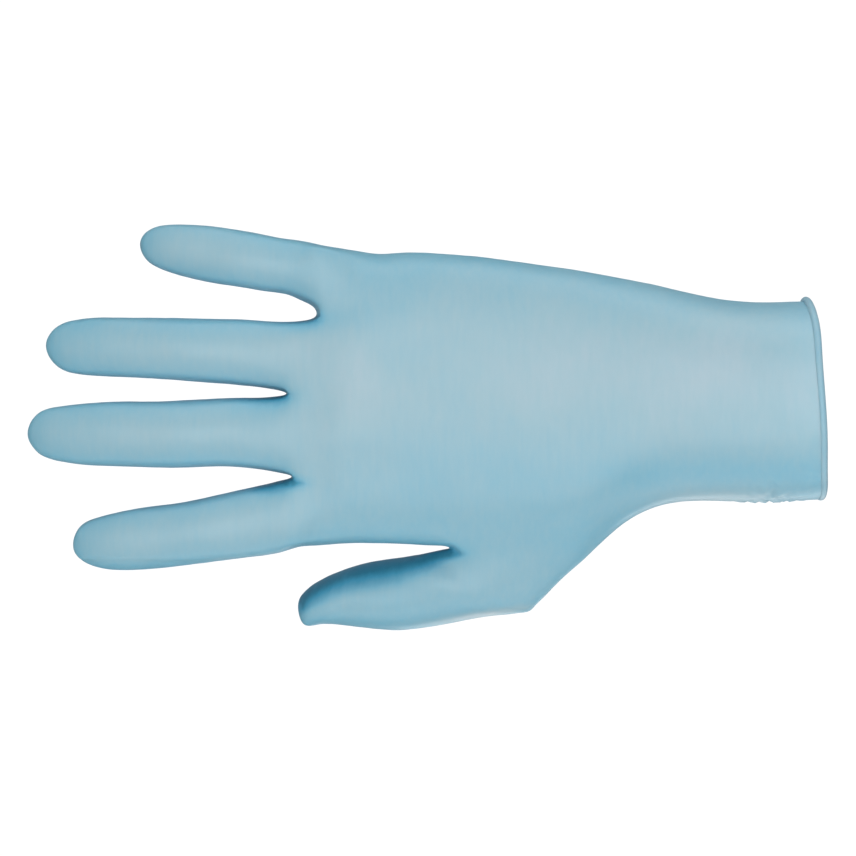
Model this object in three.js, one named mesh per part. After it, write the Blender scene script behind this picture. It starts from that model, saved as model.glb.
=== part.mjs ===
// A nitrile exam glove in its worn form: one dipped film with a rolled rim round the cuff's mouth.
// The origin is the centre of the mouth. +X points out of the mouth, the fingertips point to -X,
// +Z is the little finger's side and -Y points out of the back of the hand. Millimetres.

import * as THREE from 'three';

// Driving sizes in millimetres, and angles in degrees.
const filmThickness = 1.0;
const rimDiameter = 2.6;
const mouthSlant = 4.2;
const cuffLength = 45;
const cuffWidth = 60;
const cuffThickness = 47;
const palmLength = 112;
const palmWidth = 88;
const palmThickness = 29;
const knuckleArc = 12;
const webDip = 2;
const thumbLength = 46.5;
const thumbWidth = 22;
const thumbThickness = 22;
const thumbDroop = 6;
const indexLength = 67.4;
const indexWidth = 19.6;
const indexThickness = 17.6;
const middleLength = 79.4;
const middleWidth = 20.4;
const middleThickness = 18.2;
const ringLength = 75.2;
const ringWidth = 18.8;
const ringThickness = 17.2;
const littleLength = 54.4;
const littleWidth = 17.0;
const littleThickness = 15.4;

// Where the thumb's inner edge starts: thumbReach is a share of the palm's length and thumbRoot of
// half its width.
const thumbReach = 0.600;
const thumbRoot = 1.018;

// The four fingers from the thumb's side up. root is the place of the finger's axis across the palm
// as a share of half its width, reach is how far along the palm the finger starts, plane is how deep
// its axis starts as a share of the palm's thickness, spread and curl are degrees.
const fingers = [
  {
    length: indexLength, width: indexWidth, thickness: indexThickness,
    root: -0.79, reach: 1, plane: -0.08, spread: -9, curl: 5,
  },
  {
    length: middleLength, width: middleWidth, thickness: middleThickness,
    root: -0.24, reach: 1.01, plane: -0.1, spread: 0, curl: 6,
  },
  {
    length: ringLength, width: ringWidth, thickness: ringThickness,
    root: 0.3, reach: 1, plane: -0.08, spread: 2.4, curl: 7,
  },
  {
    length: littleLength, width: littleWidth, thickness: littleThickness,
    root: 0.86, reach: 0.94, plane: -0.04, spread: 10.8, curl: 9,
  },
];

// The webs between the fingers, from the thumb's side up. reach is a share of the palm's length, and
// between is the place from the lower finger's edge, 0, to the upper one's, 1.
const webs = [
  { reach: 0.997, between: 0.45 },
  { reach: 1.012, between: 0.45 },
  { reach: 0.916, between: 0.17 },
];

// The knuckle line. back and front are how deep a finger's first points lie as shares of its
// thickness, backBetween and frontBetween are how deep the points between two fingers lie as shares
// of the palm's end, frontDip is the share of the web's dip that they take in front, and the insets
// draw in the outermost ones.
const knuckles = { back: 0.58, front: 0.66, backBetween: 0.84, frontBetween: 0.62, frontDip: 0.3 };
const knuckleInsets = { thumb: 0.97, little: 0.98 };

// Smoothing draws the middle point of a tip in, so it starts past the finger's end.
const fingerTip = 1.02;

// Sections of each finger: along is a share of its length, thumbward and outward are the distances
// of its two edges from the axis as shares of its width, back and front as shares of its thickness.
const fingerSections = [
  [
    { along: 0.07, thumbward: 0.545, outward: 0.530, back: 0.53, front: 0.56 },
    { along: 0.22, thumbward: 0.540, outward: 0.505, back: 0.51, front: 0.55 },
    { along: 0.40, thumbward: 0.520, outward: 0.455, back: 0.53, front: 0.49 },
    { along: 0.58, thumbward: 0.495, outward: 0.460, back: 0.48, front: 0.50 },
    { along: 0.75, thumbward: 0.460, outward: 0.470, back: 0.44, front: 0.47 },
    { along: 0.88, thumbward: 0.365, outward: 0.425, back: 0.37, front: 0.42 },
    { along: 0.96, thumbward: 0.225, outward: 0.330, back: 0.25, front: 0.30 },
  ],
  [
    { along: 0.07, thumbward: 0.535, outward: 0.540, back: 0.53, front: 0.56 },
    { along: 0.22, thumbward: 0.465, outward: 0.535, back: 0.51, front: 0.55 },
    { along: 0.40, thumbward: 0.500, outward: 0.490, back: 0.53, front: 0.49 },
    { along: 0.58, thumbward: 0.480, outward: 0.485, back: 0.48, front: 0.50 },
    { along: 0.75, thumbward: 0.460, outward: 0.470, back: 0.44, front: 0.47 },
    { along: 0.89, thumbward: 0.395, outward: 0.410, back: 0.37, front: 0.42 },
    { along: 0.965, thumbward: 0.280, outward: 0.310, back: 0.25, front: 0.30 },
  ],
  [
    { along: 0.07, thumbward: 0.555, outward: 0.510, back: 0.53, front: 0.56 },
    { along: 0.22, thumbward: 0.510, outward: 0.535, back: 0.51, front: 0.55 },
    { along: 0.40, thumbward: 0.480, outward: 0.510, back: 0.53, front: 0.49 },
    { along: 0.58, thumbward: 0.465, outward: 0.500, back: 0.48, front: 0.50 },
    { along: 0.75, thumbward: 0.460, outward: 0.490, back: 0.44, front: 0.47 },
    { along: 0.89, thumbward: 0.450, outward: 0.425, back: 0.37, front: 0.42 },
    { along: 0.965, thumbward: 0.300, outward: 0.300, back: 0.25, front: 0.30 },
  ],
  [
    { along: 0.08, thumbward: 0.455, outward: 0.515, back: 0.53, front: 0.56 },
    { along: 0.22, thumbward: 0.475, outward: 0.495, back: 0.51, front: 0.55 },
    { along: 0.40, thumbward: 0.490, outward: 0.500, back: 0.53, front: 0.49 },
    { along: 0.58, thumbward: 0.510, outward: 0.490, back: 0.48, front: 0.50 },
    { along: 0.75, thumbward: 0.480, outward: 0.440, back: 0.44, front: 0.47 },
    { along: 0.88, thumbward: 0.415, outward: 0.355, back: 0.37, front: 0.42 },
    { along: 0.955, thumbward: 0.295, outward: 0.235, back: 0.25, front: 0.30 },
  ],
];

// Sections of the palm from the knuckles back to the wrist crease. along is a share of the palm's
// length, the edges are shares of half its width, back and front of half its thickness. thenar and
// heel add the pads below the thumb and the little finger in front and knuckle the ridges behind, arc
// is how much of the knuckles' arc the section follows, and the last two are how boxy its ends are.
const palmSections = [
  {
    along: 0.925, thumbEdge: 1.00, littleEdge: 1.01, back: 0.93, front: 0.78,
    knuckle: 0.06, thenar: 0.00, heel: 0.02, arc: 1.0, thumbBox: 2.9, littleBox: 2.8,
  },
  {
    along: 0.850, thumbEdge: 0.985, littleEdge: 0.985, back: 1.01, front: 0.84,
    knuckle: 0.08, thenar: 0.05, heel: 0.08, arc: 0.8, thumbBox: 2.8, littleBox: 2.7,
  },
  {
    along: 0.740, thumbEdge: 0.985, littleEdge: 1.005, back: 0.97, front: 0.74,
    knuckle: 0.03, thenar: 0.15, heel: 0.20, arc: 0.5, thumbBox: 2.8, littleBox: 2.6,
  },
  {
    along: 0.588, thumbEdge: 1.005, littleEdge: 0.99, back: 1.01, front: 0.72,
    knuckle: 0.00, thenar: 0.38, heel: 0.30, arc: 0.2, thumbBox: 3.0, littleBox: 2.5,
  },
  {
    along: 0.443, thumbEdge: 1.04, littleEdge: 0.955, back: 1.05, front: 0.78,
    knuckle: 0.00, thenar: 0.62, heel: 0.38, arc: 0.0, thumbBox: 3.6, littleBox: 2.5,
  },
  {
    along: 0.242, thumbEdge: 1.155, littleEdge: 0.880, back: 1.10, front: 0.98,
    knuckle: 0.00, thenar: 0.60, heel: 0.36, arc: 0.0, thumbBox: 3.0, littleBox: 2.4,
  },
  {
    along: 0.108, thumbEdge: 0.830, littleEdge: 0.823, back: 1.20, front: 1.22,
    knuckle: 0.00, thenar: 0.26, heel: 0.18, arc: 0.0, thumbBox: 2.4, littleBox: 2.3,
  },
  {
    along: 0.000, thumbEdge: 0.705, littleEdge: 0.768, back: 1.34, front: 1.38,
    knuckle: 0.00, thenar: 0.04, heel: 0.04, arc: 0.0, thumbBox: 2.15, littleBox: 2.15,
  },
];

// The pads in front, below the thumb and the little finger: the middle and the width of each across
// the palm as shares of half its width. The knuckles' arc grows by this power across the palm.
const thenarPad = { middle: -0.66, width: 0.42 };
const heelPad = { middle: 0.62, width: 0.4 };
const arcPower = 1.5;

// Sections of the cuff from the wrist crease out to the mouth. along is a share of the cuff's
// length, the edges are shares of half its width, back and front of half its thickness.
const cuffSections = [
  { along: 0.27, thumbEdge: 1.015, littleEdge: 1.025, back: 0.90, front: 0.92 },
  { along: 0.52, thumbEdge: 1.03, littleEdge: 0.975, back: 0.95, front: 0.96 },
  { along: 0.78, thumbEdge: 1.03, littleEdge: 0.965, back: 0.98, front: 0.98 },
  { along: 1.00, thumbEdge: 0.995, littleEdge: 0.975, back: 1.00, front: 1.00 },
];

// How boxy the cuff's section is: 2 is an ellipse.
const cuffBox = 2.3;

// Sections of the thumb. Each is cut slanting between an inner edge, towards the index finger, and
// an outer edge. The alongs are shares of its length from the web, the outs shares of its width,
// depth and sink shares of its thickness.
const thumbSections = [
  { innerAlong: 0.055, innerOut: 0.030, outerAlong: -0.670, outerOut: 0.790, depth: 0.57, sink: 0.10 },
  { innerAlong: 0.130, innerOut: 0.055, outerAlong: -0.525, outerOut: 1.055, depth: 0.56, sink: 0.20 },
  { innerAlong: 0.230, innerOut: 0.080, outerAlong: -0.270, outerOut: 1.000, depth: 0.55, sink: 0.30 },
  { innerAlong: 0.350, innerOut: 0.095, outerAlong: 0.012, outerOut: 1.065, depth: 0.53, sink: 0.39 },
  { innerAlong: 0.500, innerOut: 0.120, outerAlong: 0.338, outerOut: 1.105, depth: 0.51, sink: 0.46 },
  { innerAlong: 0.660, innerOut: 0.175, outerAlong: 0.625, outerOut: 0.965, depth: 0.47, sink: 0.50 },
  { innerAlong: 0.817, innerOut: 0.285, outerAlong: 0.829, outerOut: 0.885, depth: 0.39, sink: 0.52 },
  { innerAlong: 0.917, innerOut: 0.405, outerAlong: 0.945, outerOut: 0.870, depth: 0.27, sink: 0.52 },
];
const thumbTip = { along: 1.0, out: 0.56, sink: 0.52 };

// The palm's sections that the thumb's base spans, counted from the knuckles, and how often and how
// far its points are eased towards their neighbours' middle.
const thumbBase = { distal: 3, proximal: 5, passes: 4, share: 0.5 };

// Where the points of one face lie across a section, as shares of half its width. The odd ones lie
// on the fingers' axes and the even ones between the fingers.
const columns = [-0.95, -0.8, -0.56, -0.27, 0.02, 0.3, 0.58, 0.81, 0.95];

const digitSides = 8;
const rimSides = 8;

// One step of smoothing draws a ring in by a share that depends on its sides.
const digitStep = (2 * Math.PI) / digitSides;
const digitShrink = (3 + Math.cos(digitStep)) / 4;
const sleeveShrink = (3 + Math.cos((2 * Math.PI) / (2 * columns.length + 2))) / 4;

const degrees = THREE.MathUtils.degToRad;
const rimRadius = rimDiameter / 2;
// The film's outside meets the round rim this far before the rim's middle.
const rimFoot = Math.sqrt(rimRadius ** 2 - (rimRadius - filmThickness) ** 2);
const filmEnd = rimFoot + rimRadius;

// A net of four-sided faces, wound so that they face outwards.
class Net {
  constructor() {
    this.points = [];
    this.faces = [];
  }

  add(x, y, z) {
    this.points.push(new THREE.Vector3(x, y, z));
    return this.points.length - 1;
  }

  // A band of faces between two rings, without the ones that start at a column in skipped.
  band(near, far, skipped = []) {
    near.forEach((start, i) => {
      const j = (i + 1) % near.length;
      if (!skipped.includes(i)) this.faces.push([start, near[j], far[j], far[i]]);
    });
  }

  // Moves points a share of the way towards the middle of their neighbours, pass after pass.
  ease(moving, passes, share) {
    const beside = new Map(moving.map((p) => [p, new Set()]));
    this.faces.forEach((face) => face.forEach((p, i) => {
      beside.get(p)?.add(face[(i + 1) % face.length]).add(face[(i + face.length - 1) % face.length]);
    }));
    for (let pass = 0; pass < passes; pass += 1) {
      const targets = moving.map((p) => {
        const middle = new THREE.Vector3();
        beside.get(p).forEach((q) => middle.add(this.points[q]));
        return middle.divideScalar(beside.get(p).size);
      });
      moving.forEach((p, i) => this.points[p].lerp(targets[i], share));
    }
  }

  // Four faces that close a digit's last ring round one middle point.
  cap(ring, middle) {
    for (let i = 0; i < ring.length; i += 2) {
      this.faces.push([ring[i], ring[i + 1], ring[(i + 2) % ring.length], middle]);
    }
  }
}

// How far a boxy section reaches in depth at a place across it.
function bulge(across, box) {
  return (1 - Math.abs(across) ** box) ** (1 / box);
}

// A pad that rises round one place across a section and fades out at its width.
function pad(across, { middle, width }) {
  const away = (across - middle) / width;
  return Math.exp(-away * away);
}

// One ring of the palm or cuff: the thumb's side, the back, the little finger's side, the front.
// back and front give the depth at a place across the section, and x its place along the glove.
function sleeveRing(net, row, halfWidth, { x, back, front }) {
  const low = -row.thumbEdge * halfWidth;
  const high = row.littleEdge * halfWidth;
  const middle = (low + high) / 2;
  const half = (high - low) / 2 / sleeveShrink;
  const point = (across, depth) => {
    const z = middle + half * across;
    return net.add(x(across, z), depth, z);
  };
  return [
    point(-1, 0),
    ...columns.map((across, i) => point(across, -back(across, i))),
    point(1, 0),
    ...columns.toReversed().map((across) => point(across, front(across))),
  ];
}

function palmRing(net, row) {
  const boxy = (across) => (across < 0 ? row.thumbBox : row.littleBox);
  const bend = (across) => (bulge(across, boxy(across)) * palmThickness) / 2;
  const start = -cuffLength - row.along * palmLength;
  const ridge = (i) => (i % 2 === 1 ? row.knuckle : -row.knuckle / 2);
  return sleeveRing(net, row, palmWidth / 2, {
    x: (across) => start + row.arc * knuckleArc * Math.max(0, across) ** arcPower,
    back: (across, i) => (row.back + ridge(i)) * bend(across),
    front: (across) => {
      const pads = row.thenar * pad(across, thenarPad) + row.heel * pad(across, heelPad);
      return (row.front + pads) * bend(across);
    },
  });
}

function cuffRing(net, row) {
  const slant = Math.tan(degrees(mouthSlant)) * row.along;
  const bend = (across) => (bulge(across, cuffBox) * cuffThickness) / 2;
  return sleeveRing(net, row, cuffWidth / 2, {
    x: (across, z) => -cuffLength + row.along * (cuffLength - filmEnd) - slant * z,
    back: (across) => row.back * bend(across),
    front: (across) => row.front * bend(across),
  });
}

// A finger's axis: the place at a share of its length, and the direction across it.
function fingerAxis(finger) {
  const turn = degrees(finger.spread);
  const root = new THREE.Vector3(
    -cuffLength - finger.reach * palmLength,
    finger.plane * palmThickness,
    (finger.root * palmWidth) / 2,
  );
  const across = new THREE.Vector3(Math.sin(turn), 0, Math.cos(turn));
  const at = (along) => new THREE.Vector3(
    root.x - along * finger.length * Math.cos(turn),
    root.y + along ** 2 * finger.length * Math.tan(degrees(finger.curl)),
    root.z + along * finger.length * Math.sin(turn),
  );
  return { at, across };
}

// A ring of a digit between its two edges, with its back and front depths, from the first edge on.
function digitRing(net, first, second, backDepth, frontDepth) {
  const middle = first.clone().add(second).multiplyScalar(0.5);
  const half = second.clone().sub(first).multiplyScalar(0.5 / digitShrink);
  return Array.from({ length: digitSides }, (_, i) => {
    const angle = i * digitStep;
    const depth = Math.sin(angle) > 0 ? backDepth : frontDepth;
    return net.add(
      middle.x - half.x * Math.cos(angle),
      middle.y - half.y * Math.cos(angle) - (depth * Math.sin(angle)) / digitShrink,
      middle.z - half.z * Math.cos(angle),
    );
  });
}

// The palm's last ring, from which the fingers start, and the middle points of the webs.
function knuckleLine(net, axes, lastRow) {
  const back = [];
  const front = [];
  const middles = [];
  const sides = axes.map(({ at, across }, i) => ({
    thumbward: at(0).addScaledVector(across, -fingers[i].width / 2),
    outward: at(0).addScaledVector(across, fingers[i].width / 2),
  }));
  const backDepth = (lastRow.back * palmThickness) / 2;
  const frontDepth = (lastRow.front * palmThickness) / 2;
  const between = (x, z, dip) => {
    back.push(net.add(x + dip, -knuckles.backBetween * backDepth, z));
    front.push(net.add(x + dip * knuckles.frontDip, knuckles.frontBetween * frontDepth, z));
  };
  axes.forEach(({ at }, i) => {
    const root = at(0);
    if (i === 0) {
      between(sides[0].thumbward.x, sides[0].thumbward.z * knuckleInsets.thumb, webDip / 2);
    } else {
      const x = -cuffLength - webs[i - 1].reach * palmLength;
      const z = THREE.MathUtils.lerp(sides[i - 1].outward.z, sides[i].thumbward.z, webs[i - 1].between);
      between(x, z, webDip);
      middles.push(net.add(x, root.y, z));
    }
    back.push(net.add(root.x, root.y - fingers[i].thickness * knuckles.back, root.z));
    front.push(net.add(root.x, root.y + fingers[i].thickness * knuckles.front, root.z));
  });
  const last = sides[fingers.length - 1].outward;
  between(last.x, last.z * knuckleInsets.little, webDip / 2);
  const thumbSide = net.add(sides[0].thumbward.x, 0, sides[0].thumbward.z);
  const littleSide = net.add(last.x, 0, last.z);
  return { ring: [thumbSide, ...back, littleSide, ...front.toReversed()], middles };
}

// One finger's tube from the knuckle line to its closed tip.
function addFinger(net, line, axes, i) {
  const { ring, middles } = line;
  const { at, across } = axes[i];
  const { width, thickness } = fingers[i];
  const n = ring.length;
  const first = 1 + 2 * i;
  const inner = i === 0 ? ring[0] : middles[i - 1];
  const outer = i === fingers.length - 1 ? ring[n / 2] : middles[i];
  let near = [
    inner, ring[first], ring[first + 1], ring[first + 2],
    outer, ring[n - first - 2], ring[n - first - 1], ring[n - first],
  ];
  for (const row of fingerSections[i]) {
    const thumbward = at(row.along).addScaledVector(across, -row.thumbward * width);
    const outward = at(row.along).addScaledVector(across, row.outward * width);
    const far = digitRing(net, thumbward, outward, row.back * thickness, row.front * thickness);
    net.band(near, far);
    near = far;
  }
  const tip = at(fingerTip);
  net.cap(near, net.add(tip.x, tip.y, tip.z));
}

// The thumb's tube from the opening in the palm's edge to its closed tip.
function addThumb(net, base) {
  const turn = degrees(thumbDroop);
  const web = new THREE.Vector3(-cuffLength - thumbReach * palmLength, 0, (-thumbRoot * palmWidth) / 2);
  const lengthwise = new THREE.Vector3(-Math.cos(turn), 0, -Math.sin(turn)).multiplyScalar(thumbLength);
  const outward = new THREE.Vector3(Math.sin(turn), 0, -Math.cos(turn)).multiplyScalar(thumbWidth);
  const place = (along, out, sink) => web.clone()
    .addScaledVector(lengthwise, along)
    .addScaledVector(outward, out)
    .setY(sink * thumbThickness);
  const rings = [];
  let near = base;
  for (const row of thumbSections) {
    const outer = place(row.outerAlong, row.outerOut, row.sink);
    const inner = place(row.innerAlong, row.innerOut, row.sink);
    const depth = row.depth * thumbThickness;
    const far = digitRing(net, outer, inner, depth, depth);
    net.band(near, far);
    near = far;
    rings.push(far);
  }
  const tip = place(thumbTip.along, thumbTip.out, thumbTip.sink);
  net.cap(near, net.add(tip.x, tip.y, tip.z));
  return rings;
}

// The glove's outside as a coarse net, and the ring at its open end.
function gloveNet() {
  const net = new Net();
  const axes = fingers.map(fingerAxis);
  const line = knuckleLine(net, axes, palmSections[0]);
  axes.forEach((_, i) => addFinger(net, line, axes, i));

  const palm = palmSections.map((row) => palmRing(net, row));
  const sleeve = [line.ring, ...palm, ...cuffSections.map((row) => cuffRing(net, row))];
  const { distal, proximal } = thumbBase;
  const last = line.ring.length - 1;
  for (let i = 1; i < sleeve.length; i += 1) {
    const underThumb = i > distal + 1 && i <= proximal + 1;
    net.band(sleeve[i], sleeve[i - 1], underThumb ? [last, 0] : []);
  }

  const [a, b, c] = [palm[distal], palm[distal + 1], palm[proximal]];
  const base = [c[0], c[1], b[1], a[1], a[0], a[last], b[last], c[last]];
  const [firstRing, secondRing] = addThumb(net, base);
  // The outline keeps its points, and the rest of the thumb's base flows into the palm.
  const outline = [c[0], a[0], ...[firstRing, secondRing].flatMap((ring) => [ring[0], ring[digitSides / 2]])];
  const besideThumb = [1, 2, last - 1, last];
  const palmSide = [b, c, palm[proximal + 1]].flatMap((ring) => besideThumb.map((i) => ring[i]));
  const patch = new Set([...base, ...palmSide, ...firstRing, ...secondRing]);
  const eased = [...patch].filter((p) => !outline.includes(p));
  net.ease(eased, thumbBase.passes, thumbBase.share);
  return { net, rim: sleeve.at(-1) };
}

// One step of smoothing by Catmull and Clark's rules, which keeps the open end in its plane.
function smooth(net, rim) {
  const edges = new Map();
  const edgeOf = (a, b) => {
    const key = a < b ? `${a}_${b}` : `${b}_${a}`;
    if (!edges.has(key)) edges.set(key, { ends: [a, b], faces: [] });
    return edges.get(key);
  };
  const middles = net.faces.map((face) => face
    .reduce((sum, p) => sum.add(net.points[p]), new THREE.Vector3())
    .divideScalar(face.length));
  net.faces.forEach((face, f) => {
    face.forEach((p, i) => edgeOf(p, face[(i + 1) % face.length]).faces.push(f));
  });

  const around = net.points.map(() => ({ edges: [], faces: [] }));
  edges.forEach((edge) => edge.ends.forEach((p) => around[p].edges.push(edge)));
  net.faces.forEach((face, f) => face.forEach((p) => around[p].faces.push(f)));

  const next = new Net();
  const moved = net.points.map((point, p) => {
    const open = around[p].edges.filter((edge) => edge.faces.length === 1);
    const sum = new THREE.Vector3();
    if (open.length > 0) {
      open.forEach((edge) => edge.ends.forEach((end) => sum.add(net.points[end])));
      return sum.addScaledVector(point, 4).divideScalar(8);
    }
    const n = around[p].edges.length;
    around[p].faces.forEach((f) => sum.addScaledVector(middles[f], 1 / n));
    around[p].edges.flatMap((edge) => edge.ends).forEach((end) => {
      sum.addScaledVector(net.points[end], 1 / n);
    });
    return sum.addScaledVector(point, n - 3).divideScalar(n);
  });
  const used = around.map(({ faces }) => faces.length > 0);
  const vertex = moved.map((p, i) => (used[i] ? next.add(p.x, p.y, p.z) : -1));
  const centre = middles.map((p) => next.add(p.x, p.y, p.z));
  edges.forEach((edge) => {
    const sum = new THREE.Vector3();
    edge.ends.forEach((end) => sum.add(net.points[end]));
    if (edge.faces.length === 2) edge.faces.forEach((f) => sum.add(middles[f]));
    sum.divideScalar(edge.faces.length === 2 ? 4 : 2);
    edge.middle = next.add(sum.x, sum.y, sum.z);
  });
  net.faces.forEach((face, f) => {
    face.forEach((p, i) => {
      const before = face[(i + face.length - 1) % face.length];
      const after = face[(i + 1) % face.length];
      next.faces.push([vertex[p], edgeOf(p, after).middle, centre[f], edgeOf(before, p).middle]);
    });
  });
  const loop = rim.flatMap((p, i) => [vertex[p], edgeOf(p, rim[(i + 1) % rim.length]).middle]);
  return { net: next, rim: loop };
}

// The outward direction at each point of a net.
function outwards(net) {
  const normals = net.points.map(() => new THREE.Vector3());
  net.faces.forEach((face) => {
    const [a, b, c, d] = face.map((p) => net.points[p]);
    const normal = c.clone().sub(a).cross(d.clone().sub(b));
    face.forEach((p) => normals[p].add(normal));
  });
  return normals.map((normal) => normal.normalize());
}

// The closed solid: the outside, the inside one film deeper, and the rolled rim between their ends.
function gloveSolid() {
  const coarse = gloveNet();
  const { net, rim } = smooth(coarse.net, coarse.rim);
  const normals = outwards(net);
  const inside = net.points.map((p, i) => {
    const deeper = p.clone().addScaledVector(normals[i], -filmThickness);
    return net.add(deeper.x, deeper.y, deeper.z);
  });
  const outsideFaces = [...net.faces];
  outsideFaces.forEach((face) => net.faces.push(face.map((p) => inside[p]).reverse()));

  // The rim's section turns from where the film's outside meets it, over the outside and the mouth.
  const slant = degrees(mouthSlant);
  const mouthAxis = new THREE.Vector3(Math.cos(slant), 0, Math.sin(slant));
  const start = -Math.acos(-(rimRadius - filmThickness) / rimRadius);
  const rolled = Array.from({ length: rimSides }, (_, step) => {
    const angle = start + ((step + 1) / rimSides) * (Math.PI - start);
    return rim.map((p) => {
      const normal = normals[p];
      const axial = mouthAxis.clone().addScaledVector(normal, -mouthAxis.dot(normal)).normalize();
      const point = net.points[p].clone()
        .addScaledVector(normal, rimRadius * Math.cos(angle) + rimRadius - filmThickness)
        .addScaledVector(axial, rimRadius * Math.sin(angle) + rimFoot);
      return net.add(point.x, point.y, point.z);
    });
  });
  const rings = [rim, ...rolled, rim.map((p) => inside[p])];
  for (let i = 1; i < rings.length; i += 1) net.band(rings[i], rings[i - 1]);
  return net;
}

// Cuts each face along its shorter diagonal and makes one geometry of the triangles.
function toGeometry(net) {
  const index = net.faces.flatMap(([a, b, c, d]) => {
    const first = net.points[a].distanceToSquared(net.points[c]);
    const second = net.points[b].distanceToSquared(net.points[d]);
    return first <= second ? [a, b, c, a, c, d] : [b, c, d, b, d, a];
  });
  const geometry = new THREE.BufferGeometry();
  const position = net.points.flatMap((p) => p.toArray());
  geometry.setAttribute('position', new THREE.Float32BufferAttribute(position, 3));
  geometry.setIndex(index);
  geometry.computeVertexNormals();
  return geometry;
}

const nitrile = new THREE.MeshStandardMaterial({ color: 0x9ec3d0, roughness: 0.42, metalness: 0 });
nitrile.name = 'nitrile film';

const glove = new THREE.Mesh(toGeometry(gloveSolid()), nitrile);
glove.name = 'glove';

const nitrileExamGlove = new THREE.Group();
nitrileExamGlove.add(glove);

export default nitrileExamGlove;
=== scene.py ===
import math

import bpy
import numpy as np
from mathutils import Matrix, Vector


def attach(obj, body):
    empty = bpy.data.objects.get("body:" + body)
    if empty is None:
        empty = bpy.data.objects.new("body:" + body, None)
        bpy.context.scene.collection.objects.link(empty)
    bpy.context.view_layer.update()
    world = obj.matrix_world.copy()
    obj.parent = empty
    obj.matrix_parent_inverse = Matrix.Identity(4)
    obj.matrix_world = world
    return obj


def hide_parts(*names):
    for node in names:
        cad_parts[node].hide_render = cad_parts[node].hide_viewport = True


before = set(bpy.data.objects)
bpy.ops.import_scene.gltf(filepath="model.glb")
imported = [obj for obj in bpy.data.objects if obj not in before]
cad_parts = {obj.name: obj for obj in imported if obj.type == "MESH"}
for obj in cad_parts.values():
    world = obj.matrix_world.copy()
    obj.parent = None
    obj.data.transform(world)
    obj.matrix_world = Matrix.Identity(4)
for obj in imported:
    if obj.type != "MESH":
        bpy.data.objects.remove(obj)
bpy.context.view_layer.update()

# The film: palm, back, fingers, thumb and cuff are one skin of nitrile rubber, dipped on a former
# and cured in one go. It is a coarse net of rings, rounded by subdivision and then given its folds.
# Its sizes are in millimetres and degrees.
MM = 0.001
CUFF_LENGTH = 45
CUFF_WIDTH = 60
CUFF_DEPTH = 47
CUFF_BOX = 2.3
MOUTH_SLANT = 4.2
PALM_LENGTH = 112
PALM_WIDTH = 88
PALM_DEPTH = 29
KNUCKLE_ARC = 12
WEB_DIP = 2
THUMB_LENGTH = 46.5
THUMB_WIDTH = 22
THUMB_DEPTH = 22
THUMB_DROOP = 6
THUMB_REACH = 0.600
THUMB_ROOT = 1.018
FILM_END = 1.3
FILM_THICKNESS = 0.35
MOUTH_BOW = 0.5

# Fingers from the thumb's side up: length, width, depth, place across the palm, start along the
# palm, depth of the axis, spread and curl in degrees.
FINGERS = [
    (67.4, 19.6, 17.6, -0.79, 1.00, -0.08, -9.0, 5),
    (79.4, 20.4, 18.2, -0.24, 1.01, -0.10, 0.0, 6),
    (75.2, 18.8, 17.2, 0.30, 1.00, -0.08, 2.4, 7),
    (54.4, 17.0, 15.4, 0.86, 0.94, -0.04, 10.8, 9),
]
# Webs between the fingers: start along the palm, and place between the two fingers' edges.
WEBS = [(0.997, 0.45), (1.012, 0.45), (0.916, 0.17)]
# Depths along the knuckle line: of the webs as shares of the palm's, of the roots as shares of the
# fingers'. The line's two ends lie a little inside the outer fingers' edges.
WEB_BACK, WEB_FRONT = 0.84, 0.62
ROOT_BACK, ROOT_FRONT = 0.58, 0.66
THUMB_END, LITTLE_END = 0.97, 0.98
FRONT_DIP = 0.3
# Sections of each finger: place along it, reach to the thumb's side and away from it, back, front.
FINGER_SECTIONS = [
    [
        (0.07, 0.545, 0.530, 0.53, 0.56),
        (0.22, 0.540, 0.505, 0.51, 0.55),
        (0.40, 0.520, 0.455, 0.53, 0.49),
        (0.58, 0.495, 0.460, 0.48, 0.50),
        (0.75, 0.460, 0.470, 0.44, 0.47),
        (0.88, 0.365, 0.425, 0.37, 0.42),
        (0.96, 0.225, 0.330, 0.25, 0.30),
    ],
    [
        (0.07, 0.535, 0.540, 0.53, 0.56),
        (0.22, 0.465, 0.535, 0.51, 0.55),
        (0.40, 0.500, 0.490, 0.53, 0.49),
        (0.58, 0.480, 0.485, 0.48, 0.50),
        (0.75, 0.460, 0.470, 0.44, 0.47),
        (0.89, 0.395, 0.410, 0.37, 0.42),
        (0.965, 0.280, 0.310, 0.25, 0.30),
    ],
    [
        (0.07, 0.555, 0.510, 0.53, 0.56),
        (0.22, 0.510, 0.535, 0.51, 0.55),
        (0.40, 0.480, 0.510, 0.53, 0.49),
        (0.58, 0.465, 0.500, 0.48, 0.50),
        (0.75, 0.460, 0.490, 0.44, 0.47),
        (0.89, 0.450, 0.425, 0.37, 0.42),
        (0.965, 0.300, 0.300, 0.25, 0.30),
    ],
    [
        (0.08, 0.455, 0.515, 0.53, 0.56),
        (0.22, 0.475, 0.495, 0.51, 0.55),
        (0.40, 0.490, 0.500, 0.53, 0.49),
        (0.58, 0.510, 0.490, 0.48, 0.50),
        (0.75, 0.480, 0.440, 0.44, 0.47),
        (0.88, 0.415, 0.355, 0.37, 0.42),
        (0.955, 0.295, 0.235, 0.25, 0.30),
    ],
]
FINGER_TIP = 1.02
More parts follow.
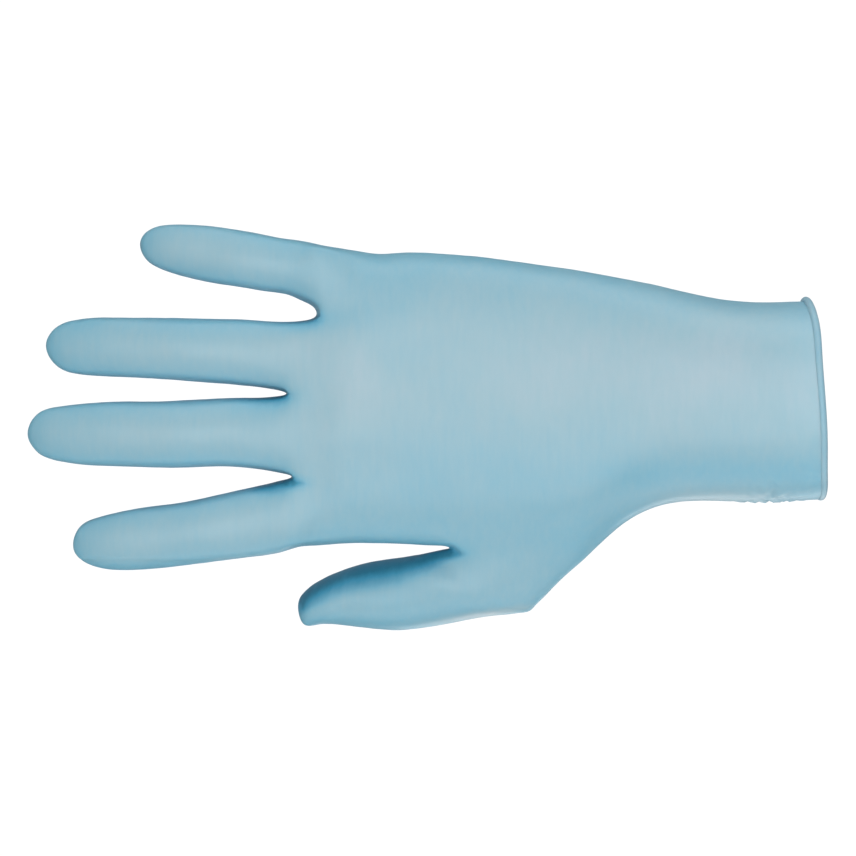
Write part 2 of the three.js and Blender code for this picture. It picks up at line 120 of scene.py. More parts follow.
# Sections of the palm from the knuckles to the wrist crease: place along it, edge on the thumb's
# side and on the little finger's, back, front, knuckle ridges, thenar pad, heel pad, share of the
# knuckles' arc, boxiness on the thumb's side and on the little finger's.
PALM_SECTIONS = [
    (0.925, 1.000, 1.010, 0.93, 0.78, 0.06, 0.00, 0.02, 1.0, 2.9, 2.8),
    (0.850, 0.985, 0.985, 1.01, 0.84, 0.08, 0.05, 0.08, 0.8, 2.8, 2.7),
    (0.740, 0.985, 1.005, 0.97, 0.74, 0.03, 0.15, 0.20, 0.5, 2.8, 2.6),
    (0.588, 1.005, 0.990, 1.01, 0.72, 0.00, 0.38, 0.30, 0.2, 3.0, 2.5),
    (0.443, 1.040, 0.955, 1.05, 0.78, 0.00, 0.62, 0.38, 0.0, 3.6, 2.5),
    (0.242, 1.155, 0.880, 1.10, 0.98, 0.00, 0.60, 0.36, 0.0, 3.0, 2.4),
    (0.108, 0.830, 0.823, 1.20, 1.22, 0.00, 0.26, 0.18, 0.0, 2.4, 2.3),
    (0.000, 0.705, 0.768, 1.34, 1.38, 0.00, 0.04, 0.04, 0.0, 2.15, 2.15),
]
THENAR_PAD = (-0.66, 0.42)
HEEL_PAD = (0.62, 0.40)
# Sections of the cuff: place along it, edge on the thumb's side and on the other, back, front.
CUFF_SECTIONS = [
    (0.27, 1.015, 1.025, 0.90, 0.92),
    (0.52, 1.030, 0.975, 0.95, 0.96),
    (0.78, 1.030, 0.965, 0.98, 0.98),
    (1.00, 0.995, 0.975, 1.00, 1.00),
]
# Slanting sections of the thumb: inner edge along and out, outer edge along and out, depth, sink.
THUMB_SECTIONS = [
    (0.055, 0.030, -0.670, 0.790, 0.57, 0.10),
    (0.130, 0.055, -0.525, 1.055, 0.56, 0.20),
    (0.230, 0.080, -0.270, 1.000, 0.55, 0.30),
    (0.350, 0.095, 0.012, 1.065, 0.53, 0.39),
    (0.500, 0.120, 0.338, 1.105, 0.51, 0.46),
    (0.660, 0.175, 0.625, 0.965, 0.47, 0.50),
    (0.817, 0.285, 0.829, 0.885, 0.39, 0.52),
    (0.917, 0.405, 0.945, 0.870, 0.27, 0.52),
]
THUMB_TIP = (1.0, 0.56, 0.52)
# The sections of the palm between which the thumb leaves its edge, counted from 0.
THUMB_FROM, THUMB_TO = 3, 5
# Where the points of one face lie across a section, as shares of half its width.
COLUMNS = [-0.95, -0.8, -0.56, -0.27, 0.02, 0.3, 0.58, 0.81, 0.95]
SLEEVE_POINTS = 2 * len(COLUMNS) + 2
DIGIT_POINTS = 8
EASING_PASSES = 4
PUSHING_PASSES = 6
ROUNDINGS = 3

points = []
quads = []


def place_point(x, y, z):
    """Adds a point of the net, in millimetres, and returns its number."""
    points.append(np.array((x, y, z), float))
    return len(points) - 1


def join_rings(near, far, skipped=()):
    """Adds the band of faces between two rings."""
    for i, start in enumerate(near):
        j = (i + 1) % len(near)
        if i not in skipped:
            quads.append((start, near[j], far[j], far[i]))


def left_by_rounding(count):
    """The share of its width that a ring of so many points keeps when it is rounded once."""
    return (3 + math.cos(2 * math.pi / count)) / 4


def bulge(across, box):
    """How far a boxy section reaches in depth at a place across it."""
    return (1 - abs(across) ** box) ** (1 / box)


def sleeve_ring(thumb_edge, little_edge, half_width, length_at, back_at, front_at):
    """One ring round the palm or cuff: thumb's side, back, little finger's side, front."""
    low = -thumb_edge * half_width
    high = little_edge * half_width
    middle = (low + high) / 2
    half = (high - low) / 2 / left_by_rounding(SLEEVE_POINTS)

    def at(across, depth):
        z = middle + half * across
        return place_point(length_at(across, z), depth, z)

    ring = [at(-1, 0)]
    ring += [at(across, -back_at(across, i)) for i, across in enumerate(COLUMNS)]
    ring += [at(1, 0)]
    ring += [at(across, front_at(across)) for across in reversed(COLUMNS)]
    return ring


def palm_ring(
    along, thumb_edge, little_edge, back, front, knuckle, thenar, heel, arc, thumb_box, little_box
):
    """A ring round the palm, with the pads in front and the knuckles' ridges behind."""
    start = -CUFF_LENGTH - along * PALM_LENGTH

    def depth(across):
        return bulge(across, thumb_box if across < 0 else little_box) * PALM_DEPTH / 2

    def pads(across):
        thumb_pad = thenar * math.exp(-(((across - THENAR_PAD[0]) / THENAR_PAD[1]) ** 2))
        heel_pad = heel * math.exp(-(((across - HEEL_PAD[0]) / HEEL_PAD[1]) ** 2))
        return thumb_pad + heel_pad

    return sleeve_ring(
        thumb_edge,
        little_edge,
        PALM_WIDTH / 2,
        lambda across, z: start + arc * KNUCKLE_ARC * max(0, across) ** 1.5,
        lambda across, i: (back + (knuckle if i % 2 else -knuckle / 2)) * depth(across),
        lambda across: (front + pads(across)) * depth(across),
    )


def cuff_ring(along, thumb_edge, little_edge, back, front):
    """A ring round the cuff, slanted more the nearer it is to the mouth."""
    slant = math.tan(math.radians(MOUTH_SLANT)) * along
    start = -CUFF_LENGTH + along * (CUFF_LENGTH - FILM_END)
    return sleeve_ring(
        thumb_edge,
        little_edge,
        CUFF_WIDTH / 2,
        lambda across, z: start - slant * z + MOUTH_BOW * along * (1 - across**2),
        lambda across, i: back * bulge(across, CUFF_BOX) * CUFF_DEPTH / 2,
        lambda across: front * bulge(across, CUFF_BOX) * CUFF_DEPTH / 2,
    )


def finger_axis(finger, share):
    """The point of a finger's axis at a share of its length."""
    length, width, depth, root, reach, plane, spread, curl = finger
    turn = math.radians(spread)
    return np.array((
        -CUFF_LENGTH - reach * PALM_LENGTH - share * length * math.cos(turn),
        plane * PALM_DEPTH + share**2 * length * math.tan(math.radians(curl)),
        root * PALM_WIDTH / 2 + share * length * math.sin(turn),
    ))


def across_finger(finger):
    """The direction across a finger, away from the thumb."""
    turn = math.radians(finger[6])
    return np.array((math.sin(turn), 0, math.cos(turn)))


def digit_ring(first, second, back, front):
    """A ring of points round a finger or thumb between its two edges."""
    shrink = left_by_rounding(DIGIT_POINTS)
    middle = (first + second) / 2
    half = (second - first) / 2 / shrink
    ring = []
    for step in range(DIGIT_POINTS):
        angle = 2 * math.pi * step / DIGIT_POINTS
        depth = (back if math.sin(angle) > 0 else front) / shrink
        x, y, z = middle - half * math.cos(angle)
        ring.append(place_point(x, y - depth * math.sin(angle), z))
    return ring


def knuckle_line(last_back, last_front):
    """The ring that the fingers start from, and the middle points of the webs."""
    backs = []
    fronts = []
    middles = []
    edges = []
    for finger in FINGERS:
        reach = across_finger(finger) * finger[1] / 2
        edges.append((finger_axis(finger, 0) - reach, finger_axis(finger, 0) + reach))

    def between(x, z, dip):
        backs.append(place_point(x + dip, -WEB_BACK * last_back * PALM_DEPTH / 2, z))
        fronts.append(place_point(x + FRONT_DIP * dip, WEB_FRONT * last_front * PALM_DEPTH / 2, z))

    for i, finger in enumerate(FINGERS):
        x, y, z = finger_axis(finger, 0)
        if i == 0:
            between(edges[0][0][0], edges[0][0][2] * THUMB_END, WEB_DIP / 2)
        else:
            reach, share = WEBS[i - 1]
            web_x = -CUFF_LENGTH - reach * PALM_LENGTH
            web_z = edges[i - 1][1][2] * (1 - share) + edges[i][0][2] * share
            between(web_x, web_z, WEB_DIP)
            middles.append(place_point(web_x, y, web_z))
        backs.append(place_point(x, y - finger[2] * ROOT_BACK, z))
        fronts.append(place_point(x, y + finger[2] * ROOT_FRONT, z))
    last = edges[-1][1]
    between(last[0], last[2] * LITTLE_END, WEB_DIP / 2)
    thumb_side = place_point(edges[0][0][0], 0, edges[0][0][2])
    little_side = place_point(last[0], 0, last[2])
    return [thumb_side, *backs, little_side, *reversed(fronts)], middles


def close_tip(ring, tip):
    """Four faces that close a digit's last ring round its tip."""
    for i in range(0, len(ring), 2):
        quads.append((ring[i], ring[i + 1], ring[(i + 2) % len(ring)], tip))


def grow_finger(i, line, middles):
    """One finger's tube from the knuckle line to its closed tip."""
    finger = FINGERS[i]
    count = len(line)
    first = 1 + 2 * i
    inner = line[0] if i == 0 else middles[i - 1]
    outer = line[count // 2] if i == len(FINGERS) - 1 else middles[i]
    near = [inner, line[first], line[first + 1], line[first + 2], outer]
    near += [line[count - first - 2], line[count - first - 1], line[count - first]]
    for along, thumbward, outward, back, front in FINGER_SECTIONS[i]:
        axis = finger_axis(finger, along)
        reach = across_finger(finger) * finger[1]
        depth = finger[2]
        far = digit_ring(axis - reach * thumbward, axis + reach * outward, back * depth, front * depth)
        join_rings(near, far)
        near = far
    close_tip(near, place_point(*finger_axis(finger, FINGER_TIP)))


def grow_thumb(base):
    """The thumb's tube from the opening in the palm's edge to its closed tip."""
    turn = math.radians(THUMB_DROOP)
    web = np.array((-CUFF_LENGTH - THUMB_REACH * PALM_LENGTH, 0, -THUMB_ROOT * PALM_WIDTH / 2))
    lengthwise = np.array((-math.cos(turn), 0, -math.sin(turn))) * THUMB_LENGTH
    outward = np.array((math.sin(turn), 0, -math.cos(turn))) * THUMB_WIDTH

    def at(along, out, sink):
        place = web + lengthwise * along + outward * out
        place[1] = sink * THUMB_DEPTH
        return place

    rings = []
    near = base
    for inner_along, inner_out, outer_along, outer_out, depth, sink in THUMB_SECTIONS:
        outer = at(outer_along, outer_out, sink)
        inner = at(inner_along, inner_out, sink)
        far = digit_ring(outer, inner, depth * THUMB_DEPTH, depth * THUMB_DEPTH)
        join_rings(near, far)
        near = far
        rings.append(far)
    close_tip(near, place_point(*at(*THUMB_TIP)))
    return rings


def neighbours():
    """For each point of the net: its neighbours along edges, across faces, and if it is open."""
    beside = [set() for _ in points]
    opposite = [[] for _ in points]
    uses = {}
    for quad in quads:
        for i, p in enumerate(quad):
            beside[p] |= {quad[(i + 1) % 4], quad[i - 1]}
            opposite[p].append(quad[(i + 2) % 4])
            edge = tuple(sorted((p, quad[(i + 1) % 4])))
            uses[edge] = uses.get(edge, 0) + 1
    border = [set() for _ in points]
    for (a, b), count in uses.items():
        if count == 1:
            border[a].add(b)
            border[b].add(a)
    return beside, opposite, border


def rounding_matrices():
    """Where one step of rounding, and endless rounding, put each point of the net."""
    beside, opposite, border = neighbours()
    step = np.eye(len(points))
    limit = np.eye(len(points))
    for p in range(len(points)):
        n = len(beside[p])
        if n == 0:
            continue
        step[p] = limit[p] = 0
        if border[p]:
            step[p, p] = 6 / 8
            limit[p, p] = 4 / 6
            for q in border[p]:
                step[p, q] = 1 / 8
                limit[p, q] = 1 / 6
            continue
        step[p, p] = 1 - 7 / (4 * n)
        limit[p, p] = n / (n + 5)
        for q in beside[p]:
            step[p, q] += 3 / (2 * n * n)
            limit[p, q] += 4 / (n * (n + 5))
        for q in opposite[p]:
            step[p, q] += 1 / (4 * n * n)
            limit[p, q] += 1 / (n * (n + 5))
    return step, limit


knuckles, web_middles = knuckle_line(PALM_SECTIONS[0][3], PALM_SECTIONS[0][4])
for finger_number in range(len(FINGERS)):
    grow_finger(finger_number, knuckles, web_middles)
palm_rings = [palm_ring(*section) for section in PALM_SECTIONS]
sleeve = [knuckles, *palm_rings, *[cuff_ring(*section) for section in CUFF_SECTIONS]]
for number in range(1, len(sleeve)):
    under_thumb = THUMB_FROM + 1 < number <= THUMB_TO + 1
    join_rings(sleeve[number], sleeve[number - 1], (SLEEVE_POINTS - 1, 0) if under_thumb else ())
ring_a, ring_b, ring_c = palm_rings[THUMB_FROM], palm_rings[THUMB_FROM + 1], palm_rings[THUMB_TO]
thumb_base = [ring_c[0], ring_c[1], ring_b[1], ring_a[1], ring_a[0], ring_a[-1], ring_b[-1], ring_c[-1]]
thumb_rings = grow_thumb(thumb_base)

# The thumb's base is eased into the palm, and the points on the outline keep their places.
outline = {ring_c[0], ring_a[0]}
for ring in thumb_rings[:2]:
    outline |= {ring[0], ring[DIGIT_POINTS // 2]}
eased = set(thumb_base) | set(thumb_rings[0]) | set(thumb_rings[1])
for ring in (ring_b, ring_c, palm_rings[THUMB_TO + 1]):
    eased |= {ring[1], ring[2], ring[-2], ring[-1]}
beside_points = neighbours()[0]
for _ in range(EASING_PASSES):
    targets = {}
    for p in eased - outline:
        targets[p] = sum(points[q] for q in beside_points[p]) / len(beside_points[p])
    for p, target in targets.items():
        points[p] = (points[p] + target) / 2

# Rounding draws a net in, so its points are pushed out until the rounded film keeps its sizes.
one_step, all_steps = rounding_matrices()
net_points = np.array(points)
wanted = one_step @ net_points
for _ in range(PUSHING_PASSES):
    net_points = net_points + (wanted - all_steps @ net_points)

used = sorted({p for quad in quads for p in quad})
renumbered = {p: i for i, p in enumerate(used)}
net = bpy.data.meshes.new("film_net")
net.from_pydata(net_points[used] * MM, [], [[renumbered[p] for p in quad] for quad in quads])
net.update()
film = bpy.data.objects.new("film", net)
bpy.context.collection.objects.link(film)
rounding = film.modifiers.new("rounding", "SUBSURF")
rounding.levels = ROUNDINGS
rounding.render_levels = ROUNDINGS
film_mesh = bpy.data.meshes.new_from_object(film.evaluated_get(bpy.context.evaluated_depsgraph_get()))
film.modifiers.clear()
film.data = film_mesh
film_mesh.name = "film"
for face in film_mesh.polygons:
    face.use_smooth = True

# The folds, dents and creases that a worn glove has. Each one moves the rounded film a little, and
# its places and sizes are in millimetres.
places = np.empty(len(film_mesh.vertices) * 3)
film_mesh.vertices.foreach_get("co", places)
places = places.reshape(-1, 3) / MM
facing = np.empty(len(film_mesh.vertices) * 3)
film_mesh.vertices.foreach_get("normal", facing)
facing = facing.reshape(-1, 3)
BACK = -1
FRONT = 1
LIP_SHARE = 0.15


def nudge(place, reach, shift):
    """Moves the film near a place by a small shift."""
    away = (((places - np.array(place)) / reach) ** 2).sum(1)
    places[:] += np.exp(-away)[:, None] * np.array(shift)


def on_side(side):
    """How much each point belongs to the back or the front of the hand, from 0 to 1."""
    return np.clip(side * facing[:, 1] * 1.6, 0, 1) ** 1.5


def swell(place, reach, height, side):
    """A soft rise on one side of the hand: its middle, its reach along and across, its height."""
    along = (places[:, 0] - place[0]) / reach[0]
    across = (places[:, 2] - place[1]) / reach[1]
    places[:] += facing * (height * np.exp(-along**2 - across**2) * on_side(side))[:, None]


def crease(line, depth, width, side):
    """A groove along a line of (x, z) points, with soft lips, that fades out at its ends."""
    flat = places[:, [0, 2]]
    line = np.array(line, float)
    lengths = np.linalg.norm(np.diff(line, axis=0), axis=1)
    nearest = np.full(len(flat), 1e9)
    run = np.zeros(len(flat))
    for start, end, length, before in zip(line, line[1:], lengths, np.cumsum(lengths) - lengths):
        share = np.clip((flat - start) @ (end - start) / length**2, 0, 1)
        away = np.linalg.norm(flat - start - share[:, None] * (end - start), axis=1)
        closer = away < nearest
        nearest[closer] = away[closer]
        run[closer] = (before + share * length)[closer] / lengths.sum()
    fade = np.clip(4 * run * (1 - run) * 1.6, 0, 1)
    shape = -np.exp(-((nearest / width) ** 2)) + LIP_SHARE * np.exp(-(((nearest - 2.2 * width) / width) ** 2))
    places[:] += facing * (depth * shape * fade * on_side(side))[:, None]


def waves(length, seed):
    """Smooth seeded unevenness of the film, about -1 to 1, with waves of about one length."""
    random = np.random.default_rng(seed)
    total = np.zeros(len(places))
    for _ in range(24):
        direction = random.normal(size=3)
        direction *= 2 * math.pi / length / np.linalg.norm(direction) * random.uniform(0.6, 1.4)
        total += np.sin(places @ direction + random.uniform(0, 2 * math.pi))
    return total / 6


# The outline's own corners and slack: place, reach and shift.
OUTLINE_CORNERS = [
    # The thumb's base and its edge up to the wrist.
    ((-85.3, 4, -61.8), 3.5, (-0.9, 0, -0.8)),
    ((-86.2, 4, -62.4), 1.8, (0.3, 0, -0.6)),
    ((-69, 0, -49), 10, (0.7, 0, -0.9)),
    # The thumb's tip and its upper edge.
    ((-153.5, 10, -68), 3.5, (-0.5, 0, -0.8)),
    ((-134, 8, -50), 7, (0, 0, 0.3)),
    # The thumb's web, and then the fingers' webs.
    ((-112.5, 3, -45.5), 4, (3.2, 0, 0.4)),
    ((-110.6, 3, -44.6), (2.5, 14, 2.5), (1.3, 0, 0.2)),
    ((-158.8, 0, 0.8), (2.5, 12, 2), (0.7, 0, 0)),
    ((-157.6, 0, -23.8), (2.5, 12, 2), (1.2, 0, 0)),
    ((-150, 0, 27.5), (4, 12, 3), (0.7, 0, 0.6)),
    # The cuff's end, where the roll is loose.
    ((-1, 0, -29), (8, 40, 5), (0.8, 0, -0.2)),
    ((-3, 0, 22), (8, 40, 9), (1.1, 0, 0)),
]
for place, reach, shift in OUTLINE_CORNERS:
    nudge(place, reach, shift)

# The film is drawn flat over the fingers' backs and turns tightly at their edges.
SHOULDER_RISE = 0.7
SHOULDER_FACING = -0.62
FINGERS_FROM = -138
THUMB_BELOW = -48
on_shoulder = np.exp(-(((facing[:, 1] - SHOULDER_FACING) / 0.22) ** 2))
on_fingers = (places[:, 2] > THUMB_BELOW) / (1 + np.exp((places[:, 0] - FINGERS_FROM) / 5))
places += facing * (SHOULDER_RISE * on_shoulder * on_fingers)[:, None]

# The back's four knuckles, and the hollow behind the ring finger's: place, reach and height.
KNUCKLES = [
    ((-139.5, -27.0), (9, 8), 0.8),
    ((-139.0, -9.5), (9, 8), 0.9),
    ((-135.5, 5.5), (9, 8), 0.7),
    ((-128.0, 24.0), (9, 8), 0.6),
    ((-126.0, 13.0), (8, 6), -0.5),
]
for place, reach, height in KNUCKLES:
    swell(place, reach, height, BACK)

# The palm's lines and the wrist's in front: points, depth and width.
PALM_LINES = [
    ([(-131, -42), (-122, -34), (-108, -22), (-90, -12), (-70, -6), (-54, -5)], 0.8, 1.8),
    ([(-132, -41), (-125, -25), (-118, -8), (-110, 10), (-98, 26), (-88, 33)], 0.6, 1.7),
    ([(-153, -16), (-142, -6), (-134, 8), (-128, 24), (-124, 38)], 0.8, 1.6),
    ([(-48, -22), (-46, -8), (-46, 8), (-49, 22)], 0.5, 1.4),
    ([(-41, -20), (-39, -4), (-40, 14)], 0.35, 1.3),
]
for line, depth, width in PALM_LINES:
    crease(line, depth, width, FRONT)

# The fingers' creases in front, at the root and the two joints, and the middle joint's rise behind:
# place along the finger and depth.
FINGER_CREASES = [(0.09, 0.5), (0.42, 0.45), (0.70, 0.4)]
CREASE_WIDTH = 1.2
CREASE_REACH = 0.42
CREASE_LEAN = 0.8
MIDDLE_JOINT = 0.42
JOINT_RISE = 0.25
for finger in FINGERS:
    for share, depth in FINGER_CREASES:
        middle = finger_axis(finger, share)[[0, 2]]
        reach = across_finger(finger)[[0, 2]] * finger[1] * CREASE_REACH
        lean = np.array((CREASE_LEAN, 0))
        bow = [middle - reach + lean, middle - lean, middle + reach + lean]
        crease(bow, depth, CREASE_WIDTH, FRONT)
    joint = finger_axis(finger, MIDDLE_JOINT)
    swell((joint[0], joint[2]), (7, 7), JOINT_RISE, BACK)

# Short folds behind, at the thumb's web and tip and on the wrist: points, depth and width.
SHORT_FOLDS = [
    ([(-110.5, -44.4), (-108.5, -45.4), (-106.5, -47.0)], 0.9, 0.8),
    ([(-147.5, -64.8), (-138.5, -61.8)], 0.35, 0.6),
    ([(-149.6, -66.2), (-142.0, -64.2)], 0.3, 0.6),
    ([(-79.4, 1.0), (-80.6, -4.4)], 0.5, 0.6),
    ([(-77.0, -0.8), (-78.6, -6.2)], 0.5, 0.6),
    ([(-67.6, -1.5), (-68.4, -12.6)], 0.45, 0.7),
    ([(-65.2, -8.0), (-65.8, -16.0)], 0.35, 0.6),
]
for line, depth, width in SHORT_FOLDS:
    crease(line, depth, width, BACK)

# Ruffles at the cuff's lower edge, and a general unevenness in long and short waves.
RUFFLES_AT = -14
RUFFLE_LENGTH = 3.3
RUFFLE_HEIGHT = 0.65
LONG_WAVE, LONG_RISE = 16, 0.10
SHORT_WAVE, SHORT_RISE = 5, 0.03
on_low_edge = np.clip(-facing[:, 2] * 1.4 - 0.5, 0, 1)
ruffled = np.exp(-(((places[:, 0] - RUFFLES_AT) / 9) ** 2)) * on_low_edge
ruffles = np.sin(2 * math.pi * (places[:, 0] + 1.5 * waves(12, 3)) / RUFFLE_LENGTH)
places += facing * (RUFFLE_HEIGHT * ruffled * ruffles)[:, None]
places += facing * (LONG_RISE * waves(LONG_WAVE, 1) + SHORT_RISE * waves(SHORT_WAVE, 2))[:, None]
film_mesh.vertices.foreach_set("co", (places * MM).ravel())
film_mesh.update()

# How deep the film's blue is at each point, from 0 to 1. Painted highlight makes it palest where the hand
# and the wrist face the front, and painted shade deepens it round an edge, in the webs and on the thumb's
# inner side.
MIDDLE_BLUE = 0.38
EDGE_PAINTED_SHADE = 0.30
HAND_PAINTED_HIGHLIGHT = 0.18
FINGER_PAINTED_HIGHLIGHT = 0.14
HAND_END = -152
WRIST = -66


def patch(place, reach):
    """1 at a place, fading to 0 at about twice its reach along each direction."""
    away = (((places - np.array(place)) / np.array(reach)) ** 2).sum(1)
    return np.exp(-away)


# Painted shade: the blue deepens where the film turns away from the front. Painted highlight: it pales where
# the hand and the fingers face the front.
edge_on = 1 - np.abs(facing[:, 1]) ** 1.5
on_hand = 1 / (1 + np.exp(-(places[:, 0] - HAND_END) / 10))
on_cuff = 1 / (1 + np.exp(-(places[:, 0] - WRIST) / 6))
blue_depth_and_painted_light = MIDDLE_BLUE + (EDGE_PAINTED_SHADE - 0.10 * on_hand) * edge_on + 0.02 * waves(30, 5)
blue_depth_and_painted_light -= HAND_PAINTED_HIGHLIGHT * on_hand * np.exp(-(((places[:, 2] - 6) / 31) ** 2))
blue_depth_and_painted_light -= FINGER_PAINTED_HIGHLIGHT * (1 - on_hand) * (1 - edge_on)

# Painted highlight (paler) and painted shade (deeper) patches: amount, place and reach.
PAINTED_LIGHT_PATCHES = [
    # Painted highlights: the wrist's back, the ring finger's root twice, the thumb's base and its middle.
    (-0.12, (-38, 0, 10), (46, 60, 20)),
    (-0.08, (-144, 0, 17), (9, 60, 14)),
    (-0.07, (-157, -8, 18), (7, 20, 6)),
    (-0.09, (-95, -10, -55), (18, 40, 9)),
    (-0.05, (-130, -8, -62), (13, 20, 4)),
    # Painted shade: the hand's lower half, the hollow behind the ring finger's knuckle, the thumb's web, and
    # the index finger's web and upper side.
    (0.06, (-103, 0, -17), (34, 60, 15)),
    (0.07, (-126, -10, 13), (8, 20, 6)),
    (0.35, (-110, -2, -46), (5, 20, 2.2)),
    (0.5, (-155.5, -6, -25), (3.5, 20, 1.5)),
    (0.25, (-164, -6, -27), (5, 20, 1.8)),
]
for amount, place, reach in PAINTED_LIGHT_PATCHES:
    blue_depth_and_painted_light += amount * patch(place, reach)

# Painted highlight: over the knuckles the back is a little paler. Painted shade: beside each web the finger
# on the thumb's side is deep.
knuckle_painted_highlight = patch((-136, -10, 8), (7, 40, 12)) + patch((-130, -10, -22), (7, 40, 14))
blue_depth_and_painted_light -= 0.05 * knuckle_painted_highlight * (facing[:, 1] < 0)
for web in web_middles:
    blue_depth_and_painted_light += 0.7 * patch(net_points[web], (14, 12, 4)) * np.clip(facing[:, 2] * 1.5 + 0.2, 0, 1)

# Painted shade: the cuff has a deeper band above its lower edge, where it turns down. Painted highlight: the
# edge itself is pale.
blue_depth_and_painted_light += 0.10 * on_cuff * np.exp(-(((places[:, 2] + 22) / 4.5) ** 2))
blue_depth_and_painted_light -= 0.28 * patch((-30, 0, -30), (28, 60, 7)) * np.clip(-facing[:, 2] * 1.8 - 0.6, 0, 1)

# Painted shade on the thumb's inner side, as a band below the line of its upper edge, and a painted highlight
# along its lower edge.
THUMB_EDGE_X = [-155.5, -153, -147, -141, -129, -117, -110.5, -106]
THUMB_EDGE_Z = [-62, -57, -53, -50.5, -48, -46.2, -44.2, -45.5]
band_width = np.interp(places[:, 0], [-155, -125, -112, -105], [9.5, 9.5, 6, 1.5])
below_edge = np.interp(places[:, 0], THUMB_EDGE_X, THUMB_EDGE_Z) - places[:, 2]
thumb_shade_band = np.clip(1 - below_edge / band_width, 0, 1) * np.clip(below_edge / 1.5 + 1.3, 0, 1)
thumb_shade_band *= np.clip((-103 - places[:, 0]) / 4, 0, 1) * np.clip((places[:, 0] + 156) / 2, 0, 1)
blue_depth_and_painted_light += 0.75 * thumb_shade_band * np.clip(facing[:, 2] * 3 + 1.2, 0, 1)
above_low_edge = places[:, 2] - np.interp(places[:, 0], [-118, -86], [-68.2, -62.8])
painted_edge_highlight = np.exp(-((above_low_edge / 1.4) ** 2)) * patch((-100, 0, -65), (16, 60, 12))
blue_depth_and_painted_light -= 0.45 * painted_edge_highlight
blue_and_light_layer = film_mesh.attributes.new("blue_depth_and_painted_light", "FLOAT", "POINT")
blue_and_light_layer.data.foreach_set("value", np.clip(blue_depth_and_painted_light, 0, 1))

wall = film.modifiers.new("wall", "SOLIDIFY")
wall.thickness = FILM_THICKNESS * MM
wall.offset = -1
wall.use_even_offset = True


def linear(hex_colour):
    """A colour given as sRGB hex, as the linear values that a shader takes."""
    values = [int(hex_colour[i:i + 2], 16) / 255 for i in (1, 3, 5)]
    return [v / 12.92 if v <= 0.04045 else ((v + 0.055) / 1.055) ** 2.4 for v in values] + [1.0]


def add_node(tree, kind, place, settings=None, **links):
    """Adds a node to a tree, sets its properties and sockets, and links its inputs."""
    node = tree.nodes.new(kind)
    node.location = place
    for name, value in (settings or {}).items():
        if hasattr(node, name):
            setattr(node, name, value)
        else:
            node.inputs[name].default_value = value
    for name, source in links.items():
        socket = int(name[1:]) if name[1:].isdigit() else name.replace("_", " ")
        tree.links.new(source, node.inputs[socket])
    return node


# Nitrile rubber, dipped, leached and chlorinated: a satin film, slightly cloudy. Its chalky look where light
# falls on it straight and its deeper blue where it turns away are painted into the colour as highlight and
# shade.
nitrile = bpy.data.materials.new("dipped_nitrile_film")
nitrile.use_nodes = True
tree = nitrile.node_tree
tree.nodes.clear()
CLOUD_SIZE = 25
RUN_WIDTH = 2.0
RUN_LENGTH = 10
MOTTLE = 0.035
GRAIN_SIZE = 0.67
GRAIN_DEPTH = 0.1
where = add_node(tree, "ShaderNodeTexCoord", (-1500, 0)).outputs["Object"]
clouds = add_node(
    tree,
    "ShaderNodeTexNoise",
    (-1100, 300),
    {"Scale": 1 / (CLOUD_SIZE * MM), "Detail": 3.0, "Roughness": 0.5},
    Vector=where,
)
blue_and_light_attribute = add_node(tree, "ShaderNodeAttribute", (-1100, 500), {"attribute_name": "blue_depth_and_painted_light"})
cloudy = add_node(
    tree,
    "ShaderNodeMapRange",
    (-900, 300),
    {"From Min": 0.3, "From Max": 0.7, "To Min": -MOTTLE, "To Max": MOTTLE},
    Value=clouds.outputs["Fac"],
)
run_marks = add_node(
    tree,
    "ShaderNodeMapping",
    (-1300, 100),
    {"Scale": (1 / (RUN_WIDTH * MM), 1 / (RUN_WIDTH * MM), 1 / (RUN_LENGTH * MM))},
    Vector=where,
)
runs = add_node(
    tree,
    "ShaderNodeTexNoise",
    (-1100, 100),
    {"Scale": 1.0, "Detail": 4.0, "Roughness": 0.6, "Distortion": 0.2},
    Vector=run_marks.outputs["Vector"],
)
streaky = add_node(
    tree,
    "ShaderNodeMapRange",
    (-900, 100),
    {"From Min": 0.3, "From Max": 0.7, "To Min": -MOTTLE, "To Max": MOTTLE},
    Value=runs.outputs["Fac"],
)
mottle = add_node(
    tree,
    "ShaderNodeMath",
    (-700, 200),
    {"operation": "ADD"},
    _0=cloudy.outputs["Result"],
    _1=streaky.outputs["Result"],
)
depth_sum = add_node(
    tree,
    "ShaderNodeMath",
    (-700, 400),
    {"operation": "ADD"},
    _0=blue_and_light_attribute.outputs["Fac"],
    _1=mottle.outputs["Value"],
)
# The ramp's pale end gives the painted highlight and its deep teal end the painted shade, around the film's
# own blue.
tones = add_node(tree, "ShaderNodeValToRGB", (-500, 400), Fac=depth_sum.outputs["Value"])
tones.color_ramp.elements[0].color = linear("#b8ced9")
tones.color_ramp.elements[1].color = linear("#2f7f9a")
tones.color_ramp.elements.new(0.2).color = linear("#a6c9d6")
tones.color_ramp.elements.new(0.5).color = linear("#83bfd6")
tones.color_ramp.elements.new(0.8).color = linear("#4aa0c0")
